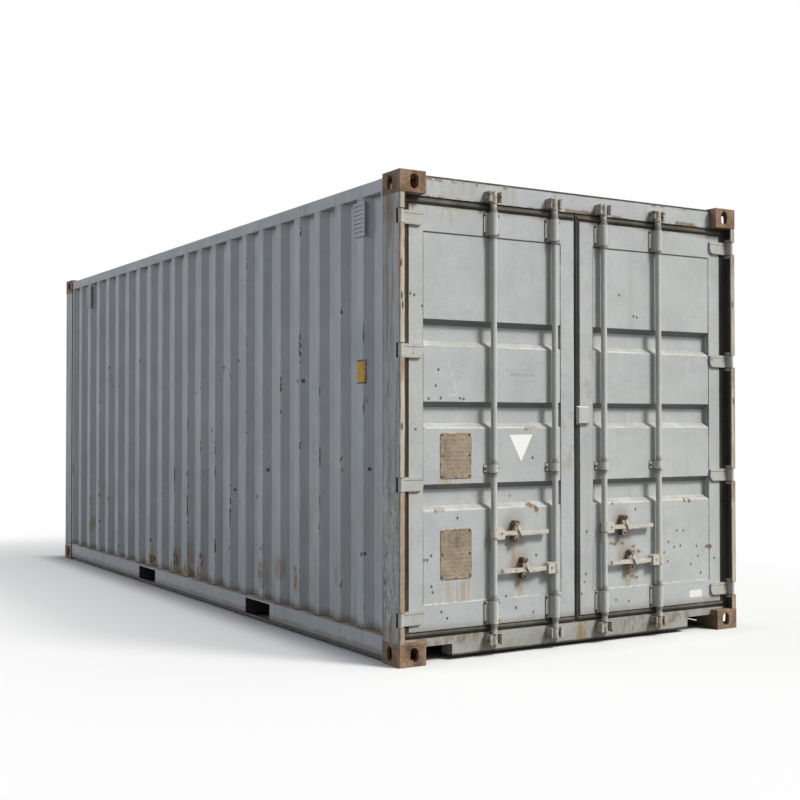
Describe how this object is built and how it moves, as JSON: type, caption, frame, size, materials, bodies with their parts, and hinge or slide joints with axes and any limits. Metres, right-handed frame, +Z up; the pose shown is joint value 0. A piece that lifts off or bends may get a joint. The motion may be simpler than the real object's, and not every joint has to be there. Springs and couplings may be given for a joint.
{
  "type": "shipping container",
  "caption": "Steel freight container with corrugated walls, corner fittings, plywood floor, fork pockets and two end doors with lock rods, cams, handles and catches.",
  "frame": {"origin": "centre of the base, on the ground", "axes": "+X across the width to the right when facing the doors, +Y along the length from the doors to the front wall, +Z up"},
  "size_m": [2.438, 6.058, 2.591],
  "materials": {
    "door_paint": "weathered satin",
    "wall_paint": "weathered satin",
    "gear_paint": "chipped paint over galvanised steel",
    "base_paint": "matt underseal",
    "fitting_steel": "rusty cast steel",
    "gasket_rubber": "matt",
    "floor_plywood": "oiled plywood"
  },
  "bodies": {
    "frame": {"bottom_corner_fittings": "fitting_steel", "top_corner_fittings": "fitting_steel", "rear_posts": "door_paint", "front_posts": "wall_paint", "door_header": "door_paint", "door_sill": "door_paint", "front_top_rail": "wall_paint", "front_bottom_rail": "wall_paint", "top_side_rails": "wall_paint", "bottom_side_rails": "wall_paint", "cross_members": "base_paint", "fork_tunnels": "base_paint", "floor_sheets": "floor_plywood", "left_side_panel": "wall_paint", "right_side_panel": "wall_paint", "front_panel": "wall_paint", "roof_panel": "wall_paint", "ventilators": "wall_paint", "hinge_lugs": "gear_paint", "cam_keepers": "gear_paint"},
    "left_door": {"left_door_frame": "door_paint", "left_door_panel": "door_paint", "left_door_hinges": "gear_paint", "left_door_gasket": "gasket_rubber", "left_rod_brackets": "gear_paint", "left_handle_retainers": "gear_paint"},
    "right_door": {"right_door_frame": "door_paint", "right_door_panel": "door_paint", "right_door_hinges": "gear_paint", "right_door_gasket": "gasket_rubber", "right_rod_brackets": "gear_paint", "right_handle_retainers": "gear_paint", "door_lap_plate": "gear_paint"},
    "rod_1_body": {"lock_rod_1": "gear_paint", "handle_1": "gear_paint"},
    "catch_1_body": {"catch_1": "gear_paint"},
    "rod_2_body": {"lock_rod_2": "gear_paint", "handle_2": "gear_paint"},
    "catch_2_body": {"catch_2": "gear_paint"},
    "rod_3_body": {"lock_rod_3": "gear_paint", "handle_3": "gear_paint"},
    "catch_3_body": {"catch_3": "gear_paint"},
    "rod_4_body": {"lock_rod_4": "gear_paint", "handle_4": "gear_paint"},
    "catch_4_body": {"catch_4": "gear_paint"}
  },
  "joints": [
    {"name": "left_door_swing", "type": "hinge", "parent": "frame", "child": "left_door", "pos_m": [-1.201, -3.011, 1.2], "axis": [0, 0, -1], "range_deg": [0, 266]},
    {"name": "right_door_swing", "type": "hinge", "parent": "frame", "child": "right_door", "pos_m": [1.201, -3.011, 1.2], "axis": [0, 0, 1], "range_deg": [0, 266]},
    {"name": "rod_1_turn", "type": "hinge", "parent": "left_door", "child": "rod_1_body", "pos_m": [-0.602, -3.004, 1.2], "axis": [0, 0, 1], "range_deg": [-100, 0]},
    {"name": "rod_2_turn", "type": "hinge", "parent": "left_door", "child": "rod_2_body", "pos_m": [-0.18, -3.004, 1.2], "axis": [0, 0, -1], "range_deg": [-100, 0]},
    {"name": "rod_3_turn", "type": "hinge", "parent": "right_door", "child": "rod_3_body", "pos_m": [0.18, -3.004, 1.2], "axis": [0, 0, 1], "range_deg": [-100, 0]},
    {"name": "rod_4_turn", "type": "hinge", "parent": "right_door", "child": "rod_4_body", "pos_m": [0.602, -3.004, 1.2], "axis": [0, 0, -1], "range_deg": [-100, 0]},
    {"name": "catch_1_swing", "type": "hinge", "parent": "left_door", "child": "catch_1_body", "pos_m": [-0.457, -3.018, 0.716], "axis": [0, 1, 0], "range_deg": [-100, 0]},
    {"name": "catch_2_swing", "type": "hinge", "parent": "left_door", "child": "catch_2_body", "pos_m": [-0.402, -3.018, 0.51], "axis": [0, 1, 0], "range_deg": [-100, 0]},
    {"name": "catch_3_swing", "type": "hinge", "parent": "right_door", "child": "catch_3_body", "pos_m": [0.325, -3.018, 0.716], "axis": [0, 1, 0], "range_deg": [-100, 0]},
    {"name": "catch_4_swing", "type": "hinge", "parent": "right_door", "child": "catch_4_body", "pos_m": [0.38, -3.018, 0.51], "axis": [0, 1, 0], "range_deg": [-100, 0]}
  ]
}
